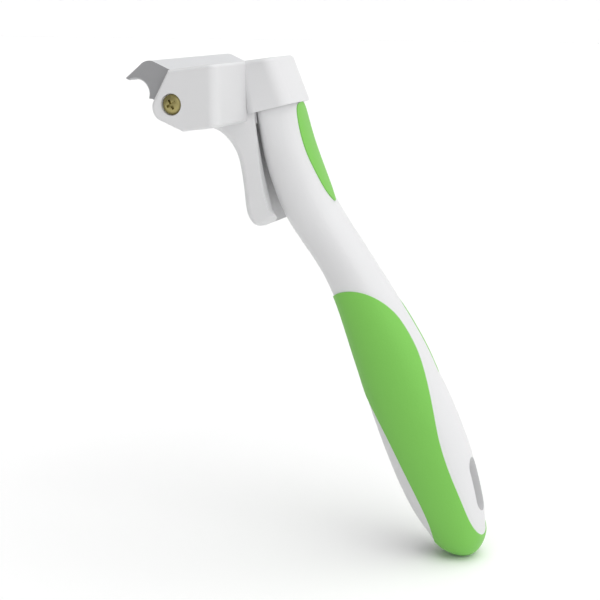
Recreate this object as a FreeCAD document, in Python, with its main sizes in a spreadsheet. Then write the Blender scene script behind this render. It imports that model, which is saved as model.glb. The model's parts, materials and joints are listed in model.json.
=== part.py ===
import FreeCAD, Part
import math
import os

# Deshedding tool: an S-curved two-shell handle with a soft grip, and a T-shaped head
# that slides off the neck of the handle. The frame: -X is where the blade points,
# Y runs along the blade, +Z is up, and the tool stands on the rounded butt of its handle.
# All lengths are in millimetres and all angles in degrees.

vec = FreeCAD.Vector
doc = FreeCAD.newDocument("deshedding_tool")
sheet = doc.addObject("Spreadsheet::Sheet", "Dims")

# Stations down the handle: centre x, centre z, lean of the axis, half depth, half width, and
# how square the section is (1 is an ellipse, less is squarer).
STATIONS = [
    (-17.8, 158, 14.3, 7.6, 10.9, 0.88),
    (-15.9, 150, 14.3, 8.1, 10.9, 0.88),
    (-13.2, 140, 16, 8.7, 10.7, 0.88),
    (-8.9, 128.5, 24, 9.0, 10.4, 0.88),
    (-1.6, 115.5, 35, 8.6, 10.1, 0.88),
    (8.4, 101.2, 34.5, 8.7, 10.2, 0.88),
    (17, 85.5, 28, 10.5, 11, 0.88),
    (24.2, 70.6, 26, 12.4, 12, 0.88),
    (33.2, 50, 25.5, 13.9, 12.9, 0.88),
    (40.1, 33.8, 27.0, 13.9, 13.0, 0.88),
    (45.7, 20.2, 25.0, 12.3, 12.2, 0.88),
    (49.4, 11.5, 20.0, 10.2, 10.7, 0.88),
    (51.3, 5.8, 14.0, 7.9, 8.8, 0.88),
    (52.5, 2.4, 10, 4.6, 5.6, 0.88),
    (52.8, 1.0, 8, 2.2, 2.8, 0.88),
]

DIMS = {
    "frame_x": -33.2,
    "frame_z": -50.0,
    "gap": 0.3,
    "skin": 1.5,
    "wall": 2.6,
    "proud": 0.35,
    "slide_tilt": 14.3,
    "rim_x": -16.0,
    "rim_z": 158.0,
    "ear_y": 36.5,
    "bay_y": 33.6,
    "blade_half": 33.4,
    "carrier_half": 33.5,
    "screw_x": -42.2,
    "screw_z": 159.0,
    "counterbore_dia": 7.4,
    "counterbore_depth": 1.7,
    "screw_hole_dia": 3.4,
    "screw_head_dia": 6.8,
    "screw_head_height": 1.3,
    "screw_dia": 2.96,
    "screw_len": 11.0,
    "insert_dia": 4.6,
    "insert_bore": 3.0,
    "insert_len": 7.0,
    "tooth_pitch": 1.5,
    "tooth_gap": 0.65,
    "tooth_count": 43,
    "spigot_depth": 9.4,
    "spigot_width": 15.6,
    "spigot_set": 2.0,
    "spigot_up": 12.2,
    "spigot_down": 26.0,
    "leg_half": 10.3,
    "leg_round": 2.4,
    "pad_x": -13.0,
    "pad_z": 140.0,
    "pad_lean": 17.0,
    "rib_count": 6,
    "rib_pitch": 4.0,
    "hole_len": 18.6,
    "hole_width": 8.2,
    "hole_x": 46.4,
    "hole_z": 21.5,
    "hole_tilt": 30.0,
    "shell_screw_head": 5.0,
    "shell_screw_dia": 2.6,
    "shell_boss_dia": 7.0,
}

row = 0
for name, value in DIMS.items():
    row = row + 1
    sheet.set("A%d" % row, name)
    sheet.set("B%d" % row, str(value))
    sheet.setAlias("B%d" % row, name)
for index, station in enumerate(STATIONS):
    for word, value in zip(("cx", "cz", "lean", "deep", "wide", "square"), station):
        row = row + 1
        sheet.set("A%d" % row, "station%d_%s" % (index, word))
        sheet.set("B%d" % row, str(value))
        sheet.setAlias("B%d" % row, "station%d_%s" % (index, word))
doc.recompute()


def dim(name):
    return float(sheet.get(name))


def origin_plane(body, role):
    for feature in body.Origin.OriginFeatures:
        if feature.Role == role:
            return feature
    return None


def new_body(name):
    return doc.addObject("PartDesign::Body", name)


def new_sketch(body, name, role, shift=None, turn=None):
    sketch = body.newObject("Sketcher::SketchObject", name)
    sketch.AttachmentSupport = [(origin_plane(body, role), "")]
    sketch.MapMode = "FlatFace"
    rotation = turn if turn else FreeCAD.Rotation()
    sketch.AttachmentOffset = FreeCAD.Placement(shift if shift else vec(), rotation)
    return sketch


def outline(sketch, corners):
    # A closed outline. A corner given as (x, z, "via") is a point an arc passes through.
    count = len(corners)
    index = 0
    while index < count:
        start = corners[index]
        after = corners[(index + 1) % count]
        if len(after) == 3:
            end = corners[(index + 2) % count]
            arc = Part.Arc(vec(start[0], start[1], 0), vec(after[0], after[1], 0), vec(end[0], end[1], 0))
            sketch.addGeometry(arc)
            index = index + 2
        else:
            sketch.addGeometry(Part.LineSegment(vec(start[0], start[1], 0), vec(after[0], after[1], 0)))
            index = index + 1


def smooth_loop(sketch, points):
    curve = Part.BSplineCurve()
    curve.interpolate([vec(x, z, 0) for x, z in points], PeriodicFlag=True)
    sketch.addGeometry(curve)


def pad_both(body, name, sketch, half, alias=None):
    pad = body.newObject("PartDesign::Pad", name)
    pad.Profile = sketch
    pad.SideType = "Symmetric"
    pad.Length = 2.0 * half
    if alias:
        pad.setExpression("Length", "2 * Dims.%s * 1mm" % alias)
    sketch.Visibility = False
    return pad


def cut_both(body, name, sketch, half, alias=None):
    pocket = body.newObject("PartDesign::Pocket", name)
    pocket.Profile = sketch
    pocket.SideType = "Symmetric"
    pocket.Length = 2.0 * half
    if alias:
        pocket.setExpression("Length", "2 * Dims.%s * 1mm" % alias)
    return pocket


def tilt_point(across, along):
    # A point in the X-Z plane given across and along the sliding direction of the head.
    angle = math.radians(dim("slide_tilt"))
    x = dim("rim_x") + across * math.cos(angle) - along * math.sin(angle)
    z = dim("rim_z") + across * math.sin(angle) + along * math.cos(angle)
    return (x, z)


def tilt_sketch(body, name, along):
    # A sketch square to the sliding direction: its x runs across, its y along Y.
    x, z = tilt_point(0.0, along)
    turn = FreeCAD.Rotation(vec(0, -1, 0), dim("slide_tilt"))
    sketch = new_sketch(body, name, "XY_Plane", vec(x, 0, z), turn)
    sketch.setExpression(".AttachmentOffset.Rotation.Angle", "Dims.slide_tilt * 1deg")
    return sketch


def round_rect(sketch, front, back, half, radius):
    arc_in = radius * (1.0 - math.sqrt(0.5))
    outline(sketch, [
        (front + radius, -half),
        (back - radius, -half),
        (back - arc_in, -half + arc_in, "via"),
        (back, -half + radius),
        (back, half - radius),
        (back - arc_in, half - arc_in, "via"),
        (back - radius, half),
        (front + radius, half),
        (front + arc_in, half - arc_in, "via"),
        (front, half - radius),
        (front, -half + radius),
        (front + arc_in, -half + arc_in, "via"),
    ])


def oval(middle, deep, wide, square):
    # Points round a squarish oval: the power pulls an ellipse out towards its corners.
    points = []
    for step in range(16):
        angle = 2.0 * math.pi * (step + 0.5) / 16
        along_x = math.copysign(abs(math.cos(angle)) ** square, math.cos(angle))
        along_y = math.copysign(abs(math.sin(angle)) ** square, math.sin(angle))
        points.append((middle + deep * along_x, wide * along_y))
    return points


def handle_loft(name, growth, first, last, lift=0.0):
    # The handle's rounded body, grown outwards (or inwards, if negative) by a set amount,
    # with its top raised along the axis by the lift.
    body = new_body(name)
    sections = []
    for index in range(first, last + 1):
        lean = STATIONS[index][2]
        turn = FreeCAD.Rotation(vec(0, -1, 0), lean)
        sketch = new_sketch(body, "%s_section%d" % (name, index), "XY_Plane", vec(), turn)
        raised = lift if index == first else 0.0
        back = raised * math.sin(math.radians(lean))
        up = raised * math.cos(math.radians(lean))
        sketch.setExpression(".AttachmentOffset.Base.x", "(Dims.station%d_cx - %.4f) * 1mm" % (index, back))
        sketch.setExpression(".AttachmentOffset.Base.z", "(Dims.station%d_cz + %.4f) * 1mm" % (index, up))
        sketch.setExpression(".AttachmentOffset.Rotation.Angle", "Dims.station%d_lean * 1deg" % index)
        deep = dim("station%d_deep" % index) + growth
        wide = dim("station%d_wide" % index) + growth
        smooth_loop(sketch, oval(0.0, deep, wide, dim("station%d_square" % index)))
        sections.append(sketch)
    loft = body.newObject("PartDesign::AdditiveLoft", name + "_loft")
    loft.Profile = sections[0]
    loft.Sections = sections[1:]
    loft.Ruled = False
    return body


def cylinder(name, dia_alias, length, x, y, z):
    # A round bar along +Y, starting at y.
    bar = doc.addObject("Part::Cylinder", name)
    bar.setExpression("Radius", "Dims.%s / 2 * 1mm" % dia_alias)
    bar.Height = length
    bar.Placement = FreeCAD.Placement(vec(x, y, z), FreeCAD.Rotation(vec(1, 0, 0), -90))
    return bar


def boolean(kind, name, base, tools):
    if kind in ("Cut", "Section"):
        op = doc.addObject("Part::Cut", name)
        op.Base = base
        op.Tool = tools
        return op
    op = doc.addObject("Part::Multi" + kind, name)
    op.Shapes = [base] + tools
    return op


# ---------------------------------------------------------------- handle tools
LAST = len(STATIONS) - 1
outer = handle_loft("handle_outer", 0.0, 0, LAST)
grown = handle_loft("handle_grown", dim("proud"), 0, LAST)
ribbed = handle_loft("handle_ribbed", dim("proud") + 0.55, 0, LAST)
under = handle_loft("handle_under", -dim("skin"), 0, LAST - 2)
core = handle_loft("handle_core", -dim("wall") - 0.9, 1, 8)

# Side outline of the soft grip: wraps the front at its top and the butt at its bottom.
grip_edge = new_body("grip_edge")
sk = new_sketch(grip_edge, "grip_outline", "XZ_Plane")
smooth_loop(sk, [
    (12.6, 94.6), (19.0, 93.4), (25.6, 88.8), (31.0, 81.8), (35.6, 73.8), (39.2, 65.0),
    (42.0, 56.0), (44.8, 45.4), (48.8, 33.8), (53.0, 23.4), (57.4, 12.6), (61.5, 2.0),
    (56.0, -8.0), (44.5, -5.0), (42.9, 7.6), (38.4, 22.0), (33.0, 32.0), (27.6, 41.6),
    (20.4, 52.8), (9.0, 66.4), (0.0, 80.0), (4.0, 91.0),
])
pad_both(grip_edge, "grip_block", sk, 20.0)

# Leaf outline of the thumb pad, looking square at the back of the neck.
pad_turn = FreeCAD.Rotation(vec(0, -1, 0), dim("pad_lean"))
pad_place = FreeCAD.Placement(vec(dim("pad_x"), 0, dim("pad_z")), pad_turn)
pad_edge = new_body("pad_edge")
sk = new_sketch(pad_edge, "pad_outline", "YZ_Plane")
smooth_loop(sk, [
    (0.0, 16.6), (3.4, 15.6), (5.2, 11.0), (5.8, 4.0), (5.6, -3.0), (4.5, -10.0),
    (2.6, -16.6), (0.0, -19.6), (-2.6, -16.6), (-4.5, -10.0), (-5.6, -3.0), (-5.8, 4.0),
    (-5.2, 11.0), (-3.4, 15.6),
])
block = pad_edge.newObject("PartDesign::Pad", "pad_block")
block.Profile = sk
block.Length = 20.0
pad_edge.Placement = pad_place

# Short raised ribs across the thumb pad.
rib_edge = new_body("rib_edge")
sk = new_sketch(rib_edge, "rib_outline", "YZ_Plane")
for rib in range(int(dim("rib_count"))):
    level = 9.0 - dim("rib_pitch") * rib
    outline(sk, [(-2.6, level), (2.6, level), (3.2, level + 0.6, "via"), (2.6, level + 1.2),
                 (-2.6, level + 1.2), (-3.2, level + 0.6, "via")])
block = rib_edge.newObject("PartDesign::Pad", "rib_block")
block.Profile = sk
block.Length = 20.0
rib_edge.Placement = pad_place

# Hang hole: a slot from the back of the handle to its front, just above the butt.
hang_slot = new_body("hang_slot")
turn = FreeCAD.Rotation(vec(0, -1, 0), dim("hole_tilt"))
reach = 30.0
sk = new_sketch(hang_slot, "slot_outline", "YZ_Plane")
radius = dim("hole_width") / 2.0
straight = dim("hole_len") / 2.0 - radius
outline(sk, [(-radius, -straight), (0.0, -straight - radius, "via"), (radius, -straight),
             (radius, straight), (0.0, straight + radius, "via"), (-radius, straight)])
pad_both(hang_slot, "slot_block", sk, reach)
hang_slot.Placement = FreeCAD.Placement(vec(dim("hole_x"), 0, dim("hole_z")), turn)

# Spigot tool, with the running fit round it.
def spigot_body(name, growth, down, up):
    body = new_body(name)
    sketch = tilt_sketch(body, name + "_section", -down)
    half = dim("spigot_depth") / 2.0 + growth
    middle = -dim("spigot_set")
    round_rect(sketch, middle - half, middle + half, dim("spigot_width") / 2.0 + growth, 2.5)
    pad = body.newObject("PartDesign::Pad", name + "_pad")
    pad.Profile = sketch
    pad.Length = up + down
    return body


# The two halves of the space, used to split the handle down its middle.
def half_space(name, side):
    box = doc.addObject("Part::Box", name)
    box.Length = 200
    box.Width = 40
    box.Height = 260
    box.Placement.Base = vec(-80, 0.0 if side > 0 else -40.0, -40)
    return box


# Shell screws lie along Y under the grip, with their heads on the far side.
SCREWS = [("upper", 6), ("middle", 7), ("lower", 8)]
bosses = []
shanks = []
heads = []
screws = []
for word, index in SCREWS:
    x = dim("station%d_cx" % index)
    z = dim("station%d_cz" % index)
    wide = dim("station%d_wide" % index)
    seat = wide - dim("skin") - 3.2
    reach_in = -wide + dim("skin") + 4.0
    bosses.append(cylinder("boss_" + word, "shell_boss_dia", 2 * wide, x, -wide, z))
    shanks.append(cylinder("shank_hole_" + word, "shell_screw_dia", seat - reach_in, x, reach_in, z))
    heads.append(cylinder("head_hole_" + word, "shell_screw_head", 12.0, x, seat, z))
    shank = cylinder("shank_" + word, "shell_screw_dia", seat - reach_in - 0.2, x, reach_in + 0.2, z)
    shank.setExpression("Radius", "(Dims.shell_screw_dia - 0.04) / 2 * 1mm")
    head = cylinder("head_" + word, "shell_screw_head", 2.0, x, seat, z)
    head.setExpression("Radius", "(Dims.shell_screw_head - 0.1) / 2 * 1mm")
    slot_a = doc.addObject("Part::Box", "driver_slot_a_" + word)
    slot_b = doc.addObject("Part::Box", "driver_slot_b_" + word)
    for slot, long_x, long_z in ((slot_a, 3.0, 0.7), (slot_b, 0.7, 3.0)):
        slot.Length = long_x
        slot.Width = 2.0
        slot.Height = long_z
        slot.Placement.Base = vec(x - long_x / 2, seat + 0.8, z - long_z / 2)
    joined = boolean("Fuse", "screw_blank_" + word, shank, [head])
    crossed = boolean("Fuse", "driver_cross_" + word, slot_a, [slot_b])
    screw = boolean("Cut", "shell_screw_" + word, joined, crossed)
    screws.append(screw)

# ---------------------------------------------------------------- handle parts
grip_zone = boolean("Common", "grip_zone", grown, [grip_edge])
grip_raw = boolean("Cut", "grip_raw", grip_zone, under)
grip = boolean("Cut", "grip_overmould", grip_raw, hang_slot)

pad_zone = boolean("Common", "pad_zone", grown, [pad_edge])
rib_zone = boolean("Common", "rib_zone", ribbed, [rib_edge])
pad_full = boolean("Fuse", "pad_full", pad_zone, [rib_zone])
thumb_pad = boolean("Cut", "thumb_pad", pad_full, under)

boss_set = boolean("Fuse", "boss_set", bosses[0], bosses[1:])
hollow = boolean("Cut", "hollow", core, boss_set)
socket = spigot_body("socket_space", 0.02, dim("spigot_down") + 0.3, 4.0)
hole_set = boolean("Fuse", "hole_set", shanks[0], shanks[1:] + heads)
pad_raw = boolean("Cut", "pad_raw", pad_zone, under)
shell_a = boolean("Cut", "shell_a", outer, hollow)
shell_b = boolean("Cut", "shell_b", shell_a, socket)
shell_c = boolean("Cut", "shell_c", shell_b, hole_set)
shell_d = boolean("Cut", "shell_d", shell_c, hang_slot)
shell_e = boolean("Cut", "shell_e", shell_d, grip_raw)
shell_f = boolean("Cut", "shell_f", shell_e, pad_raw)
shell_left = boolean("Common", "handle_shell_left", shell_f, [half_space("near_half", -1)])
shell_right = boolean("Common", "handle_shell_right", shell_f, [half_space("far_half", 1)])

spigot = spigot_body("neck_spigot", 0.0, dim("spigot_down"), dim("spigot_up"))
doc.recompute()

# ---------------------------------------------------------------- head housing
ear_front_top = (-43.3, 170.3)
ear_front_low = (-48.7, 160.4)
top_slope = (174.3 - 170.3) / (43.3 - 14.0)


def roof(x, drop=0.0):
    return 170.3 + (x + 43.3) * top_slope - drop


def blade_line(down, behind):
    # A point down the line of the blade's back, and behind it, from the top front of the ears.
    x = -43.3 - 0.48 * down + 0.877 * behind
    z = 170.3 - 0.877 * down - 0.48 * behind
    return (x, z)


def edges_where(feature, test):
    # Names of the edges of a feature whose every sampled point passes the test.
    names = []
    for number, edge in enumerate(feature.Shape.Edges):
        points = edge.discretize(5)
        if all(test(point) for point in points):
            names.append("Edge%d" % (number + 1))
    return names


def round_edges(body, name, radius, test):
    fillet = body.newObject("PartDesign::Fillet", name)
    fillet.Base = (fillet.BaseFeature, edges_where(fillet.BaseFeature, test))
    fillet.Radius = radius
    doc.recompute()
    return fillet


wing = new_body("wing_block")
sk = new_sketch(wing, "wing_outline", "XZ_Plane")
outline(sk, [
    ear_front_top,
    ear_front_low,
    (-49.3, 156.9, "via"),
    (-46.0, 153.3),
    (-38.3, 150.1),
    (-25.6, 151.8),
    (-25.6, roof(-25.6)),
])
pad_both(wing, "wings", sk, dim("ear_y"), "ear_y")
doc.recompute()
round_edges(wing, "rear_corners", 3.2, lambda p: abs(p.x + 25.6) < 0.01 and abs(p.y) > dim("ear_y") - 0.01)
round_edges(wing, "ear_edges", 1.1, lambda p: abs(p.y) > dim("ear_y") - 0.01)

# Hood over the neck, drawn in square to the sliding direction, with a slight draft.
hood = new_body("hood_block")
low = tilt_sketch(hood, "hood_low", -1.2)
round_rect(low, -11.4, 6.6, 12.0, 5.0)
high = tilt_sketch(hood, "hood_high", 20.0)
round_rect(high, -11.4, 3.7, 11.6, 4.6)
loft = hood.newObject("PartDesign::AdditiveLoft", "hood_loft")
loft.Profile = low
loft.Sections = [high]
loft.Ruled = True
sk = new_sketch(hood, "above_roof", "XZ_Plane")
outline(sk, [(-60.0, roof(-60.0)), (5.0, roof(5.0)), (5.0, 190.0), (-60.0, 190.0)])
cut_both(hood, "roof_cut", sk, 30.0)
doc.recompute()
round_edges(hood, "roof_edges", 1.6, lambda p: abs(p.z - roof(p.x)) < 0.01 and p.x > -25.5)



def on_shin(point):
    inside = 115.0 < point.z < 149.5 and point.x < -14.55
    behind = point.x > -22.2 and point.z > 119.0
    return abs(point.y) > dim("leg_half") - 0.01 and inside and not behind


# Leg in front of the neck, flaring at its foot into a finger rest.
leg = new_body("leg_block")
sk = new_sketch(leg, "leg_outline", "XZ_Plane")
shin = [
    (-41.5, 149.4), (-37.0, 148.0), (-33.2, 145.0), (-30.4, 140.8), (-28.8, 135.5),
    (-27.9, 129.5), (-27.2, 123.6), (-26.1, 118.6), (-23.4, 115.6), (-19.0, 116.0), (-14.6, 118.8),
]
curve = Part.BSplineCurve()
curve.interpolate([vec(x, z, 0) for x, z in shin])
sk.addGeometry(curve)
leg_back = [
    shin[-1], (-17.6, 121.0), (-19.4, 126.5), (-20.6, 133.0), (-21.8, 143.0), (-22.9, 153.0),
    (-22.9, 159.5), (-30.0, 159.5), (-41.5, 154.0), shin[0],
]
for start, end in zip(leg_back[:-1], leg_back[1:]):
    sk.addGeometry(Part.LineSegment(vec(start[0], start[1], 0), vec(end[0], end[1], 0)))
pad_both(leg, "leg", sk, dim("leg_half"), "leg_half")
doc.recompute()
round_edges(leg, "leg_edges", dim("leg_round"), on_shin)

# Spaces taken out of the head: in front of the blade's back, and behind it for the carrier.
blade_bay = new_body("blade_bay")
sk = new_sketch(blade_bay, "blade_space", "XZ_Plane")
outline(sk, [blade_line(-6.0, 2.45), blade_line(22.0, 2.45), blade_line(22.0, -12.0), blade_line(-6.0, -12.0)])
pad_both(blade_bay, "blade_bay_pad", sk, dim("bay_y"), "bay_y")

carrier_bay = new_body("carrier_bay")
sk = new_sketch(carrier_bay, "carrier_bay_outline", "XZ_Plane")
outline(sk, [
    blade_line(3.3, 2.0),
    (-28.2, roof(-28.2, 2.4)),
    (-28.2, 154.0),
    (-38.6, 152.6),
    blade_line(14.4, 2.0),
])
pad_both(carrier_bay, "carrier_bay_pad", sk, dim("bay_y"), "bay_y")

# Pocket for the spigot, open at the rim of the hood.
spigot_space = spigot_body("spigot_space", 0.06, 30.0, dim("spigot_up") + 0.3)

# Seat for the neck: its own shape with a clearance, carried straight down the slide.
seat_neck = handle_loft("seat_neck", dim("gap"), 0, LAST, dim("gap"))
seat_run = new_body("seat_run")
sk = tilt_sketch(seat_run, "seat_section", -5.0)
smooth_loop(sk, oval(-2.6, 9.8, 11.2, 0.88))
block = seat_run.newObject("PartDesign::Pad", "seat_block")
block.Profile = sk
block.Reversed = True
block.Length = 54.0

ear_holes = []
for side in (-1, 1):
    word = "near" if side < 0 else "far"
    face = side * dim("ear_y")
    floor = face - side * dim("counterbore_depth")
    start = min(floor, floor + side * 5.0)
    bore = cylinder("counterbore_" + word, "counterbore_dia", 5.0, dim("screw_x"), start, dim("screw_z"))
    start = min(face, face - side * 5.0)
    hole = cylinder("screw_hole_" + word, "screw_hole_dia", 5.0, dim("screw_x"), start, dim("screw_z"))
    ear_holes = ear_holes + [bore, hole]

housing_solid = boolean("Fuse", "housing_solid", wing, [hood, leg])
housing_spaces = boolean("Fuse", "housing_spaces", blade_bay,
                         [carrier_bay, spigot_space, seat_neck, seat_run] + ear_holes)
housing = boolean("Cut", "head_housing", housing_solid, housing_spaces)

# ---------------------------------------------------------------- blade and carrier
def on_hook_end(point):
    reach = math.hypot(point.x + 56.9, point.z - 162.0)
    return abs(point.y) > dim("blade_half") - 0.01 and 4.6 < reach < 5.6 and point.x > -58.9


blade_bar = new_body("blade_body")
sk = new_sketch(blade_bar, "blade_profile", "XZ_Plane")
outline(sk, [
    (-60.2, 167.2),
    (-54.9, 171.6),
    (-52.2, 173.1, "via"),
    (-49.1, 172.6),
    blade_line(0.0, 2.4),
    blade_line(12.0, 2.4),
    blade_line(12.0, -1.5),
    (-51.9, 160.6),
    (-53.2, 165.7, "via"),
    (-58.8, 166.5),
])
pad_both(blade_bar, "blade_pad", sk, dim("blade_half"), "blade_half")
doc.recompute()
bevel = blade_bar.newObject("PartDesign::Chamfer", "end_bevel")
bevel.Base = (bevel.BaseFeature, edges_where(bevel.BaseFeature, on_hook_end))
bevel.Size = 0.45
doc.recompute()
first_gap = dim("tooth_pitch") * (dim("tooth_count") - 1) / 2.0
sk = new_sketch(blade_bar, "tooth_gap_outline", "XZ_Plane", vec(0, 0, first_gap))
outline(sk, [(-62.0, 168.0), (-53.2, 175.0), (-50.9, 172.2), (-54.6, 167.6, "via"), (-55.6, 164.0), (-62.0, 163.0)])
gap_cut = blade_bar.newObject("PartDesign::Pocket", "tooth_gap")
gap_cut.Profile = sk
gap_cut.SideType = "Symmetric"
gap_cut.setExpression("Length", "Dims.tooth_gap * 1mm")
pattern = blade_bar.newObject("PartDesign::LinearPattern", "tooth_gaps")
pattern.Originals = [gap_cut]
pattern.Direction = (sk, ["N_Axis"])
pattern.Reversed = True
pattern.setExpression("Length", "Dims.tooth_pitch * (Dims.tooth_count - 1) * 1mm")
pattern.Occurrences = int(dim("tooth_count"))
blade_bar.Tip = pattern

carrier_bar = new_body("carrier_body")
sk = new_sketch(carrier_bar, "carrier_profile", "XZ_Plane")
outline(sk, [
    blade_line(3.5, 2.45),
    (-34.0, 168.3),
    (-34.0, 165.0),
    (-38.0, 165.0),
    (-38.0, 152.9),
    (-38.6, 152.7),
    blade_line(14.2, 2.45),
])
pad_both(carrier_bar, "carrier_pad", sk, dim("carrier_half"), "carrier_half")

DOWEL_LEN = 5.4
blade_turn = FreeCAD.Rotation(vec(0, 0, 1), vec(0.877, 0, -0.48))
dowels = []
dowel_holes = []
for side in (-1, 1):
    x, z = blade_line(6.0, 0.7)
    for name, radius, length, store in (
        ("blade_dowel_" + ("left" if side < 0 else "right"), 1.49, DOWEL_LEN, dowels),
        ("dowel_hole_" + ("left" if side < 0 else "right"), 1.5, DOWEL_LEN + 0.1, dowel_holes),
    ):
        pin = doc.addObject("Part::Cylinder", name)
        pin.Radius = radius
        pin.Height = length
        pin.Placement = FreeCAD.Placement(vec(x, side * 20.0, z), blade_turn)
        store.append(pin)
dowel_set = boolean("Fuse", "dowel_set", dowel_holes[0], dowel_holes[1:])
blade = boolean("Cut", "blade", blade_bar, dowel_set)

carrier_holes = []
inserts = []
for side in (-1, 1):
    word = "left" if side < 0 else "right"
    end = side * dim("carrier_half")
    length = dim("insert_len")
    start = min(end, end - side * length)
    wide_hole = cylinder("insert_hole_" + word, "insert_dia", length, dim("screw_x"), start, dim("screw_z"))
    wide_hole.setExpression("Radius", "(Dims.insert_dia + 0.02) / 2 * 1mm")
    start = min(end, end - side * 12.0)
    core_hole = cylinder("core_hole_" + word, "screw_hole_dia", 12.0, dim("screw_x"), start, dim("screw_z"))
    carrier_holes = carrier_holes + [wide_hole, core_hole]
    start = min(end, end - side * length)
    skin_bar = cylinder("insert_bar_" + word, "insert_dia", length, dim("screw_x"), start, dim("screw_z"))
    thread = cylinder("insert_core_" + word, "insert_bore", length, dim("screw_x"), start, dim("screw_z"))
    inserts.append(boolean("Cut", "thread_insert_" + word, skin_bar, thread))
carrier_set = boolean("Fuse", "carrier_set", carrier_holes[0], carrier_holes[1:] + [dowel_set])
carrier = boolean("Cut", "blade_carrier", carrier_bar, carrier_set)

# Blade screws: low pan heads with a cross recess, one in each ear.
blade_screws = []
for side in (-1, 1):
    word = "left" if side < 0 else "right"
    screw = new_body("blade_screw_" + word)
    radius = dim("screw_head_dia") / 2.0
    height = dim("screw_head_height")
    shank = dim("screw_dia") / 2.0
    sk = new_sketch(screw, "screw_profile_" + word, "XZ_Plane")
    outline(sk, [
        (0.0, -dim("screw_len")),
        (shank - 0.4, -dim("screw_len")),
        (shank, -dim("screw_len") + 0.4),
        (shank, 0.0),
        (radius, 0.0),
        (radius, height * 0.45),
        (radius * 0.8, height * 0.86, "via"),
        (0.0, height),
    ])
    turned = screw.newObject("PartDesign::Revolution", "screw_turned_" + word)
    turned.Profile = sk
    turned.ReferenceAxis = (sk, ["V_Axis"])
    turned.Angle = 360.0
    sk = new_sketch(screw, "cross_" + word, "XY_Plane", vec(0, 0, height - 0.95))
    arm = 1.75
    thick = 0.42
    outline(sk, [
        (arm, -thick), (arm, thick), (thick, thick), (thick, arm), (-thick, arm), (-thick, thick),
        (-arm, thick), (-arm, -thick), (-thick, -thick), (-thick, -arm), (thick, -arm), (thick, -thick),
    ])
    cross = screw.newObject("PartDesign::Pocket", "cross_cut_" + word)
    cross.Profile = sk
    cross.Reversed = True
    cross.Length = 3.0
    seat = side * (dim("ear_y") - dim("counterbore_depth"))
    turn = FreeCAD.Rotation(vec(1, 0, 0), 90.0 if side < 0 else -90.0)
    spin = FreeCAD.Rotation(vec(0, 0, 1), 28.0)
    screw.Placement = FreeCAD.Placement(vec(dim("screw_x"), seat, dim("screw_z")), turn * spin)
    blade_screws.append(screw)
doc.recompute()

# ---------------------------------------------------------------- hand-over
pieces = {
    "handle_shell_left": shell_left,
    "handle_shell_right": shell_right,
    "grip_overmould": grip,
    "thumb_pad": thumb_pad,
    "neck_spigot": spigot,
    "shell_screw_upper": screws[0],
    "shell_screw_middle": screws[1],
    "shell_screw_lower": screws[2],
    "head_housing": housing,
    "blade_carrier": carrier,
    "blade": blade,
    "blade_screw_left": blade_screws[0],
    "blade_screw_right": blade_screws[1],
    "thread_insert_left": inserts[0],
    "thread_insert_right": inserts[1],
    "blade_dowel_left": dowels[0],
    "blade_dowel_right": dowels[1],
}
shift = vec(dim("frame_x"), 0, dim("frame_z"))
for name, piece in pieces.items():
    piece.Label = name
    piece.Placement = FreeCAD.Placement(piece.Placement.Base + shift, piece.Placement.Rotation)
doc.recompute()

for item in doc.Objects:
    for word in item.State:
        if word in ("Invalid", "Error"):
            raise RuntimeError("%s is %s" % (item.Label, word))
os.makedirs("parts", exist_ok=True)
whole = FreeCAD.BoundBox()
for name, piece in pieces.items():
    shape = piece.Shape
    if shape.isNull() or not shape.isValid():
        raise RuntimeError(name + " has no valid shape")
    shape.exportStep("parts/%s.step" % name)
    whole.add(shape.BoundBox)
    print("%-20s solids %d volume %8.1f  x %.1f..%.1f  y %.1f..%.1f  z %.1f..%.1f" % (
        name, len(shape.Solids), shape.Volume, shape.BoundBox.XMin, shape.BoundBox.XMax,
        shape.BoundBox.YMin, shape.BoundBox.YMax, shape.BoundBox.ZMin, shape.BoundBox.ZMax))
print("whole x %.3f..%.3f  y %.3f..%.3f  z %.3f..%.3f" % (
    whole.XMin, whole.XMax, whole.YMin, whole.YMax, whole.ZMin, whole.ZMax))
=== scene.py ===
import json
import math

import bpy
from mathutils import Matrix, Vector


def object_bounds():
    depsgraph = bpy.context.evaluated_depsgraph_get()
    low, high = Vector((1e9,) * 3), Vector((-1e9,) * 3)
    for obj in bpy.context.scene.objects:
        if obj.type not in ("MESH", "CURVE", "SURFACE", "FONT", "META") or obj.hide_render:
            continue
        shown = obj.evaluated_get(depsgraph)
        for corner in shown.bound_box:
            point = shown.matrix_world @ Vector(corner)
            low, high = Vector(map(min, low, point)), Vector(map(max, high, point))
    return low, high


# Looks for a deshedding tool: satin white plastic, soft green grip, ground steel blade, brass screws,
# on a plain pale floor with a wall far behind it.
# The frame: -X is where the blade points, Y runs along the blade, +Z is up. Lengths are in metres.

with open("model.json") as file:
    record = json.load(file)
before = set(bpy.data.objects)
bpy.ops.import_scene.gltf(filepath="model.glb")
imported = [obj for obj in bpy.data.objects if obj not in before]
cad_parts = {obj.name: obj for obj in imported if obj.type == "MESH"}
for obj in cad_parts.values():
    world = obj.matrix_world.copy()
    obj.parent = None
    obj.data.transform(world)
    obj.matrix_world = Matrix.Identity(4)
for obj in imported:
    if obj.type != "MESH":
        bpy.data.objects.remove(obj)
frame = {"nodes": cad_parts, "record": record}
cad_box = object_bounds()


# ---------------------------------------------------------------- materials
def srgb(red, green, blue):
    # Linear colour from 0-255 display values.
    parts = []
    for value in (red, green, blue):
        unit = value / 255.0
        parts.append(unit / 12.92 if unit <= 0.04045 else ((unit + 0.055) / 1.055) ** 2.4)
    return (parts[0], parts[1], parts[2], 1.0)


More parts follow.
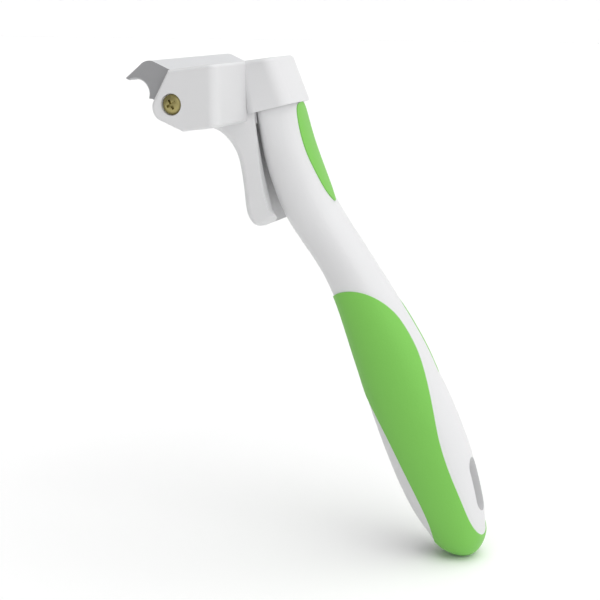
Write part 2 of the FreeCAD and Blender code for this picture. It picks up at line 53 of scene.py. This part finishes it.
def new_material(name, color, roughness, metallic=0.0, specular=0.5):
    material = bpy.data.materials.new(name)
    material.use_nodes = True
    shader = material.node_tree.nodes["Principled BSDF"]
    shader.inputs["Base Color"].default_value = color
    shader.inputs["Roughness"].default_value = roughness
    shader.inputs["Metallic"].default_value = metallic
    shader.inputs["Specular IOR Level"].default_value = specular
    return material, shader


def add_grain(material, shader, scale, strength, stretch=(1.0, 1.0, 1.0), detail=3.0, depth=0.0002):
    # A fine procedural relief in the object's own coordinates.
    nodes = material.node_tree.nodes
    links = material.node_tree.links
    place = nodes.new("ShaderNodeTexCoord")
    mapping = nodes.new("ShaderNodeMapping")
    mapping.inputs["Scale"].default_value = stretch
    noise = nodes.new("ShaderNodeTexNoise")
    noise.inputs["Scale"].default_value = scale
    noise.inputs["Detail"].default_value = detail
    bump = nodes.new("ShaderNodeBump")
    bump.inputs["Strength"].default_value = strength
    bump.inputs["Distance"].default_value = depth
    links.new(place.outputs["Object"], mapping.inputs["Vector"])
    links.new(mapping.outputs["Vector"], noise.inputs["Vector"])
    links.new(noise.outputs["Fac"], bump.inputs["Height"])
    links.new(bump.outputs["Normal"], shader.inputs["Normal"])
    return noise


def vary_roughness(material, shader, noise, low, high):
    ramp = material.node_tree.nodes.new("ShaderNodeMapRange")
    ramp.inputs["To Min"].default_value = low
    ramp.inputs["To Max"].default_value = high
    material.node_tree.links.new(noise.outputs["Fac"], ramp.inputs["Value"])
    material.node_tree.links.new(ramp.outputs["Result"], shader.inputs["Roughness"])


white_plastic, shader = new_material("white_plastic", srgb(218, 218, 219), 0.42, specular=0.4)
shader.inputs["Subsurface Weight"].default_value = 0.05
shader.inputs["Subsurface Radius"].default_value = (0.001, 0.001, 0.001)
grain = add_grain(white_plastic, shader, 900.0, 0.05)
vary_roughness(white_plastic, shader, grain, 0.38, 0.48)

green_rubber, shader = new_material("green_rubber", srgb(122, 192, 84), 0.62, specular=0.3)
shader.inputs["Sheen Weight"].default_value = 0.12
shader.inputs["Sheen Roughness"].default_value = 0.5
grain = add_grain(green_rubber, shader, 1600.0, 0.22)
vary_roughness(green_rubber, shader, grain, 0.55, 0.72)

GROUND_STEEL = srgb(226, 227, 229)
# Painted shade: a darker steel colour laid on the blade's end faces.
END_FACE_SHADE_STEEL = srgb(158, 158, 160)
# A mix node has one pair of inputs and one output for each type of value: these are its colour ones.
COLOR_A = 6
COLOR_B = 7
COLOR_OUT = 2
blade_steel, shader = new_material("blade_steel", GROUND_STEEL, 0.36, metallic=0.35)
grain = add_grain(blade_steel, shader, 260.0, 0.10, stretch=(1.0, 0.04, 1.0))
# Painted shade: the blade's end faces, whose normals lie along Y, are painted darker than its ground
# back.
steel = blade_steel.node_tree
facing = steel.nodes.new("ShaderNodeTexCoord")
parts = steel.nodes.new("ShaderNodeSeparateXYZ")
side = steel.nodes.new("ShaderNodeMath")
side.operation = "ABSOLUTE"
# Painted shade: blends towards the darker end-face colour as the normal turns along Y.
end_face_shade = steel.nodes.new("ShaderNodeMix")
end_face_shade.data_type = "RGBA"
end_face_shade.inputs[COLOR_A].default_value = GROUND_STEEL
end_face_shade.inputs[COLOR_B].default_value = END_FACE_SHADE_STEEL
steel.links.new(facing.outputs["Normal"], parts.inputs["Vector"])
steel.links.new(parts.outputs["Y"], side.inputs[0])
steel.links.new(side.outputs[0], end_face_shade.inputs[0])
steel.links.new(end_face_shade.outputs[COLOR_OUT], shader.inputs["Base Color"])
vary_roughness(blade_steel, shader, grain, 0.3, 0.45)

zinc_steel, shader = new_material("zinc_steel", srgb(190, 192, 196), 0.34, metallic=1.0)
grain = add_grain(zinc_steel, shader, 700.0, 0.06)
vary_roughness(zinc_steel, shader, grain, 0.3, 0.4)

brass, shader = new_material("brass", srgb(166, 156, 104), 0.34, metallic=0.9)
grain = add_grain(brass, shader, 800.0, 0.12)
vary_roughness(brass, shader, grain, 0.3, 0.46)

dark_plastic, shader = new_material("dark_plastic", srgb(62, 64, 66), 0.5)
grain = add_grain(dark_plastic, shader, 900.0, 0.08)
vary_roughness(dark_plastic, shader, grain, 0.45, 0.6)

SLOTS = {
    "white_plastic": white_plastic,
    "green_rubber": green_rubber,
    "blade_steel": blade_steel,
    "zinc_steel": zinc_steel,
    "brass": brass,
    "dark_plastic": dark_plastic,
}
for entry in frame["record"]["subparts"]:
    node = frame["nodes"][entry["node"]]
    node.data.materials.clear()
    node.data.materials.append(SLOTS[entry["material_slot"]])

# ---------------------------------------------------------------- floor and backdrop
FLOOR_SIZE = 12.0
FLOOR_GAP = 0.0001
WALL_BEHIND = 5.8
WALL_HEIGHT_SCALE = 0.35
UPRIGHT = math.pi / 2.0
bpy.ops.mesh.primitive_plane_add(size=FLOOR_SIZE, location=(0.0, 0.0, cad_box[0][2] - FLOOR_GAP))
floor = bpy.context.object
floor.name = "floor"
paper, shader = new_material("paper", srgb(252, 252, 252), 0.9, specular=0.1)
floor.data.materials.append(paper)

bpy.ops.mesh.primitive_plane_add(
    size=FLOOR_SIZE, location=(0.0, WALL_BEHIND, 0.0), rotation=(UPRIGHT, 0.0, 0.0))
backdrop = bpy.context.object
backdrop.name = "backdrop"
wall_paper, shader = new_material("wall_paper", srgb(252, 252, 252), 0.9, specular=0.1)
shader.inputs["Emission Color"].default_value = (1.0, 1.0, 1.0, 1.0)
shader.inputs["Emission Strength"].default_value = 0.12
backdrop.data.materials.append(wall_paper)
backdrop.scale = (1.0, WALL_HEIGHT_SCALE, 1.0)

# ---------------------------------------------------------------- light
world = bpy.data.worlds.new("studio")
bpy.context.scene.world = world
world.use_nodes = True
sky = world.node_tree.nodes["Background"]
sky.inputs["Color"].default_value = (1.0, 1.0, 1.0, 1.0)
# The studio is brighter on the +X side and darker on the side the blade points to.
SKY_DARK = 0.12
SKY_BRIGHT = 0.92
around = world.node_tree.nodes.new("ShaderNodeTexCoord")
split = world.node_tree.nodes.new("ShaderNodeSeparateXYZ")
fade = world.node_tree.nodes.new("ShaderNodeMapRange")
fade.inputs["From Min"].default_value = -1.0
fade.inputs["From Max"].default_value = 1.0
fade.inputs["To Min"].default_value = SKY_DARK
fade.inputs["To Max"].default_value = SKY_BRIGHT
world.node_tree.links.new(around.outputs["Generated"], split.inputs["Vector"])
world.node_tree.links.new(split.outputs["X"], fade.inputs["Value"])
world.node_tree.links.new(fade.outputs["Result"], sky.inputs["Strength"])


def sun_light(name, place, angle, strength):
    # A far soft lamp shining from the place towards the object.
    data = bpy.data.lights.new(name, "SUN")
    data.angle = math.radians(angle)
    data.energy = strength
    lamp = bpy.data.objects.new(name, data)
    bpy.context.scene.collection.objects.link(lamp)
    lamp.rotation_euler = Vector(place).to_track_quat("Z", "Y").to_euler()
    return lamp


sun_light("overhead", (0.1, 0.0, 1.0), 60.0, 1.35)
sun_light("rear_key", (1.0, -0.75, 0.9), 60.0, 0.6)

# ---------------------------------------------------------------- camera at the photograph's view
AZIMUTH = math.radians(20.3)
ELEVATION = math.radians(11.8)
DISTANCE = 0.518
TARGET = Vector((-0.0432, 0.0, 0.0380))
LENS = 87.0
SENSOR = 36.0

camera_data = bpy.data.cameras.new("camera")
camera_data.lens = LENS
camera_data.sensor_width = SENSOR
camera = bpy.data.objects.new("camera", camera_data)
bpy.context.scene.collection.objects.link(camera)
back = Vector((
    math.sin(AZIMUTH) * math.cos(ELEVATION),
    -math.cos(AZIMUTH) * math.cos(ELEVATION),
    math.sin(ELEVATION),
))
camera.location = TARGET + DISTANCE * back
right = Vector((math.cos(AZIMUTH), math.sin(AZIMUTH), 0.0))
camera.rotation_euler = Matrix((right, back.cross(right), back)).transposed().to_euler()
bpy.context.scene.camera = camera
bpy.context.scene.view_settings.view_transform = "Standard"
